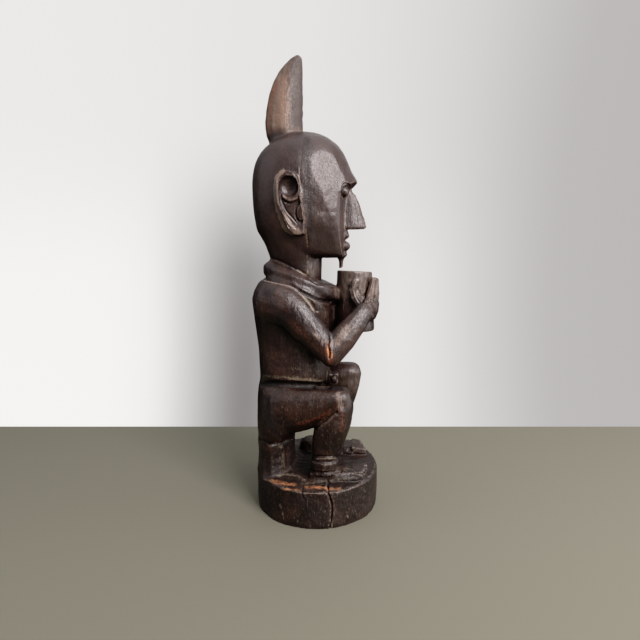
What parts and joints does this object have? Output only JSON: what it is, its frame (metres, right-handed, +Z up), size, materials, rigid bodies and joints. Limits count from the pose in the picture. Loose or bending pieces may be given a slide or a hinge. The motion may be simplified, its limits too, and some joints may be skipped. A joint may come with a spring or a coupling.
{
  "type": "seated horned figure",
  "caption": "Carved wooden figure with a horned head, seated on a stool on a round base and holding an open cup to its chest in both hands.",
  "frame": {"origin": "on the underside of the round base, in the middle of the figure's plan", "axes": "+Z up along the figure; the figure faces -Y and its left side is at +X"},
  "size_m": [0.141, 0.1431, 0.5],
  "materials": {
    "wood": "dark brown-black handled patina over brown hardwood, satin, worn to bare wood on edges and cracks"
  },
  "bodies": {
    "root": {"horned_figure": "wood"}
  },
  "joints": []
}
